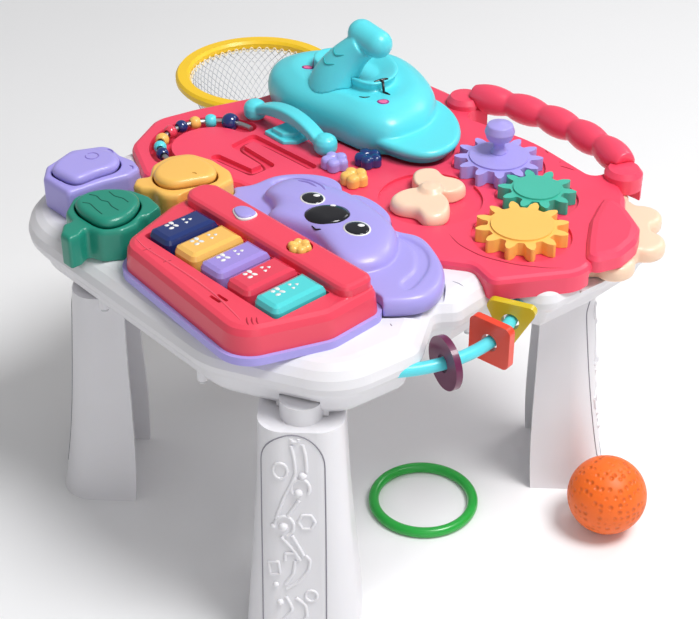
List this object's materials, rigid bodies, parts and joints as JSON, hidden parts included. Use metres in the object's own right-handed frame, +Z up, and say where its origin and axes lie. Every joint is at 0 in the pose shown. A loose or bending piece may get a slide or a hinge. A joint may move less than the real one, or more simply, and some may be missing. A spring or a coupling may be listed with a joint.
{
  "type": "musical activity table",
  "caption": "Four-legged musical activity table with piano keys, push animals, meshing gears, spinners, bead track, ring rail, net hoop, handset, carry handle and loose toys.",
  "frame": {"origin": "centre of the footprint on the floor", "axes": "+Z up; +X along the piano, away from the net hoop; +Y from the piano to the carry handle"},
  "size_m": [0.581, 0.4205, 0.331],
  "materials": {
    "shell_white": "satin moulded ABS",
    "board_red": "semi-gloss moulded ABS",
    "case_red": "semi-gloss moulded ABS",
    "lavender": "semi-gloss moulded ABS",
    "navy": "gloss moulded ABS",
    "sun_yellow": "semi-gloss moulded ABS",
    "key_red_gloss": "gloss moulded ABS",
    "cyan": "semi-gloss moulded ABS",
    "teal": "semi-gloss moulded ABS",
    "peach": "semi-gloss moulded ABS",
    "net_cord": "open knotted cord net",
    "rail_ring_maroon": "gloss moulded ABS",
    "rail_ring_red": "gloss moulded ABS",
    "rail_ring_olive": "gloss moulded ABS",
    "ball_orange": "soft vinyl, dimpled",
    "ring_green": "gloss moulded polyethylene",
    "steel": "zinc plated",
    "circuit": "solder mask",
    "speaker_black": "paper cone in a steel frame",
    "battery_cell": "sleeved cells"
  },
  "bodies": {
    "root": {"upper_deck": "shell_white", "lower_tray": "shell_white", "leg_front_left": "shell_white", "leg_front_right": "shell_white", "leg_back_left": "shell_white", "leg_back_right": "shell_white", "battery_door": "shell_white", "battery_box": "shell_white", "play_board": "board_red", "carry_handle": "board_red", "piano_case": "case_red", "piano_base": "lavender", "hippo_base": "lavender", "chick_base": "sun_yellow", "hoop_ring": "sun_yellow", "ring_rail": "cyan", "fish_base": "teal", "hoop_net": "net_cord", "case_screws": "steel", "bead_rail": "steel", "circuit_board": "circuit", "speaker": "speaker_black", "batteries": "battery_cell"},
    "key_navy": {"key_navy": "navy"},
    "key_yellow": {"key_yellow": "sun_yellow"},
    "key_purple": {"key_purple": "lavender"},
    "key_red": {"key_red": "key_red_gloss"},
    "key_cyan": {"key_cyan": "cyan"},
    "mode_button": {"mode_button": "lavender"},
    "volume_button": {"volume_button": "sun_yellow"},
    "hippo_button": {"hippo_button": "lavender"},
    "chick_button": {"chick_button": "sun_yellow"},
    "fish_button": {"fish_button": "teal"},
    "koala_pad": {"koala_pad": "lavender"},
    "elephant_drum": {"elephant_drum": "cyan", "elephant_trunk": "cyan"},
    "purple_gear": {"purple_gear": "lavender", "crank_knob": "lavender"},
    "green_gear": {"green_gear": "teal"},
    "yellow_gear": {"yellow_gear": "sun_yellow"},
    "finger_wheel": {"finger_wheel": "peach"},
    "heart_spinner": {"heart_spinner": "peach"},
    "flower_purple": {"flower_purple": "lavender"},
    "flower_yellow": {"flower_yellow": "sun_yellow"},
    "flower_navy": {"flower_navy": "navy"},
    "bead_navy_front": {"bead_navy_front": "navy"},
    "bead_cyan_front": {"bead_cyan_front": "cyan"},
    "bead_yellow_front": {"bead_yellow_front": "sun_yellow"},
    "bead_red": {"bead_red": "key_red_gloss"},
    "bead_navy_middle": {"bead_navy_middle": "navy"},
    "bead_yellow_back": {"bead_yellow_back": "sun_yellow"},
    "bead_cyan_back": {"bead_cyan_back": "cyan"},
    "bead_navy_large": {"bead_navy_large": "navy"},
    "handset": {"handset": "cyan"},
    "rail_disc": {"rail_disc": "rail_ring_maroon"},
    "rail_square": {"rail_square": "rail_ring_red"},
    "rail_triangle": {"rail_triangle": "rail_ring_olive"},
    "play_ball": {"play_ball": "ball_orange"},
    "toss_ring": {"toss_ring": "ring_green"}
  },
  "joints": [
    {"name": "key_navy_turn", "type": "hinge", "parent": "root", "child": "key_navy", "pos_m": [0.0294, -0.12125, 0.252], "axis": [1, 0, 0], "range_deg": [0, 4], "stiffness_Nm_per_rad": 0.6, "springref_deg": -2.86},
    {"name": "key_yellow_turn", "type": "hinge", "parent": "root", "child": "key_yellow", "pos_m": [0.0584, -0.12125, 0.252], "axis": [1, 0, 0], "range_deg": [0, 4], "stiffness_Nm_per_rad": 0.6, "springref_deg": -2.86},
    {"name": "key_purple_turn", "type": "hinge", "parent": "root", "child": "key_purple", "pos_m": [0.0874, -0.12125, 0.252], "axis": [1, 0, 0], "range_deg": [0, 4], "stiffness_Nm_per_rad": 0.6, "springref_deg": -2.86},
    {"name": "key_red_turn", "type": "hinge", "parent": "root", "child": "key_red", "pos_m": [0.1164, -0.12125, 0.252], "axis": [1, 0, 0], "range_deg": [0, 4], "stiffness_Nm_per_rad": 0.6, "springref_deg": -2.86},
    {"name": "key_cyan_turn", "type": "hinge", "parent": "root", "child": "key_cyan", "pos_m": [0.1454, -0.12125, 0.252], "axis": [1, 0, 0], "range_deg": [0, 4], "stiffness_Nm_per_rad": 0.6, "springref_deg": -2.86},
    {"name": "mode_button_travel", "type": "slide", "parent": "root", "child": "mode_button", "axis": [0, 0, -1], "range_m": [0, 0.002], "stiffness_N_per_m": 200, "springref_m": -0.001},
    {"name": "volume_button_travel", "type": "slide", "parent": "root", "child": "volume_button", "axis": [0, 0, -1], "range_m": [0, 0.002], "stiffness_N_per_m": 200, "springref_m": -0.001},
    {"name": "hippo_button_travel", "type": "slide", "parent": "root", "child": "hippo_button", "axis": [0, 0, -1], "range_m": [0, 0.003], "stiffness_N_per_m": 300, "springref_m": -0.002},
    {"name": "chick_button_travel", "type": "slide", "parent": "root", "child": "chick_button", "axis": [0, 0, -1], "range_m": [0, 0.003], "stiffness_N_per_m": 300, "springref_m": -0.002},
    {"name": "fish_button_travel", "type": "slide", "parent": "root", "child": "fish_button", "axis": [0, 0, -1], "range_m": [0, 0.003], "stiffness_N_per_m": 300, "springref_m": -0.002},
    {"name": "koala_pad_travel", "type": "slide", "parent": "root", "child": "koala_pad", "axis": [0, 0, -1], "range_m": [0, 0.002], "stiffness_N_per_m": 2500, "springref_m": -0.002},
    {"name": "elephant_drum_travel", "type": "slide", "parent": "root", "child": "elephant_drum", "axis": [0, 0, -1], "range_m": [0, 0.003], "stiffness_N_per_m": 4000, "springref_m": -0.002},
    {"name": "purple_gear_turn", "type": "hinge", "parent": "root", "child": "purple_gear", "pos_m": [0.094, 0.11735, 0.241], "axis": [0, 0, 1], "continuous": true},
    {"name": "green_gear_turn", "type": "hinge", "parent": "root", "child": "green_gear", "pos_m": [0.148, 0.10175, 0.241], "axis": [0, 0, 1], "continuous": true},
    {"name": "yellow_gear_turn", "type": "hinge", "parent": "root", "child": "yellow_gear", "pos_m": [0.1767, 0.05345, 0.241], "axis": [0, 0, 1], "continuous": true},
    {"name": "finger_wheel_turn", "type": "hinge", "parent": "root", "child": "finger_wheel", "pos_m": [0.183, 0.10775, 0.2205], "axis": [0, 0, 1], "continuous": true},
    {"name": "heart_spinner_turn", "type": "hinge", "parent": "root", "child": "heart_spinner", "pos_m": [0.094, 0.04175, 0.2412], "axis": [0, 0, 1], "continuous": true},
    {"name": "flower_purple_turn", "type": "hinge", "parent": "root", "child": "flower_purple", "pos_m": [0.008, 0.02175, 0.243], "axis": [0, 0, 1], "continuous": true},
    {"name": "flower_yellow_turn", "type": "hinge", "parent": "root", "child": "flower_yellow", "pos_m": [0.037, 0.01575, 0.243], "axis": [0, 0, 1], "continuous": true},
    {"name": "flower_navy_turn", "type": "hinge", "parent": "root", "child": "flower_navy", "pos_m": [0.022, 0.04475, 0.243], "axis": [0, 0, 1], "continuous": true},
    {"name": "bead_navy_front_turn", "type": "hinge", "parent": "root", "child": "bead_navy_front", "pos_m": [-0.086, -0.02725, 0.244], "axis": [0, 0, 1], "range_deg": [-1.2, 1.2]},
    {"name": "bead_cyan_front_turn", "type": "hinge", "parent": "root", "child": "bead_cyan_front", "pos_m": [-0.086, -0.02725, 0.244], "axis": [0, 0, 1], "range_deg": [-1.2, 1.2]},
    {"name": "bead_yellow_front_turn", "type": "hinge", "parent": "root", "child": "bead_yellow_front", "pos_m": [-0.086, -0.02725, 0.244], "axis": [0, 0, 1], "range_deg": [-1.4, 1.2]},
    {"name": "bead_red_turn", "type": "hinge", "parent": "root", "child": "bead_red", "pos_m": [-0.086, -0.02725, 0.244], "axis": [0, 0, 1], "range_deg": [-1.6, 1.6]},
    {"name": "bead_navy_middle_turn", "type": "hinge", "parent": "root", "child": "bead_navy_middle", "pos_m": [-0.086, -0.02725, 0.244], "axis": [0, 0, 1], "range_deg": [-1.4, 1.4]},
    {"name": "bead_yellow_back_turn", "type": "hinge", "parent": "root", "child": "bead_yellow_back", "pos_m": [-0.086, -0.02725, 0.244], "axis": [0, 0, 1], "range_deg": [-1.4, 1.4]},
    {"name": "bead_cyan_back_turn", "type": "hinge", "parent": "root", "child": "bead_cyan_back", "pos_m": [-0.086, -0.02725, 0.244], "axis": [0, 0, 1], "range_deg": [-1.6, 1.4]},
    {"name": "bead_navy_large_turn", "type": "hinge", "parent": "root", "child": "bead_navy_large", "pos_m": [-0.086, -0.02725, 0.244], "axis": [0, 0, 1], "range_deg": [-6, 1.8]},
    {"name": "handset_travel", "type": "slide", "parent": "root", "child": "handset", "axis": [0, 0, 1], "range_m": [0, 0.12]},
    {"name": "rail_disc_turn", "type": "hinge", "parent": "root", "child": "rail_disc", "pos_m": [0.128, -0.04625, 0.217], "axis": [0, 0, 1], "range_deg": [-0.5, 4]},
    {"name": "rail_square_turn", "type": "hinge", "parent": "root", "child": "rail_square", "pos_m": [0.128, -0.04625, 0.217], "axis": [0, 0, 1], "range_deg": [-4, 4]},
    {"name": "rail_triangle_turn", "type": "hinge", "parent": "root", "child": "rail_triangle", "pos_m": [0.128, -0.04625, 0.217], "axis": [0, 0, 1], "range_deg": [-4, 1]},
    {"name": "play_ball_travel", "type": "slide", "parent": "root", "child": "play_ball", "axis": [0, 0, 1], "range_m": [0, 0.1]},
    {"name": "toss_ring_travel", "type": "slide", "parent": "root", "child": "toss_ring", "axis": [0, 0, 1], "range_m": [0, 0.1]}
  ],
  "couplings": [
    {"joint": "green_gear_turn", "follows": "purple_gear_turn", "ratio": -1.2},
    {"joint": "yellow_gear_turn", "follows": "purple_gear_turn", "ratio": 1}
  ]
}
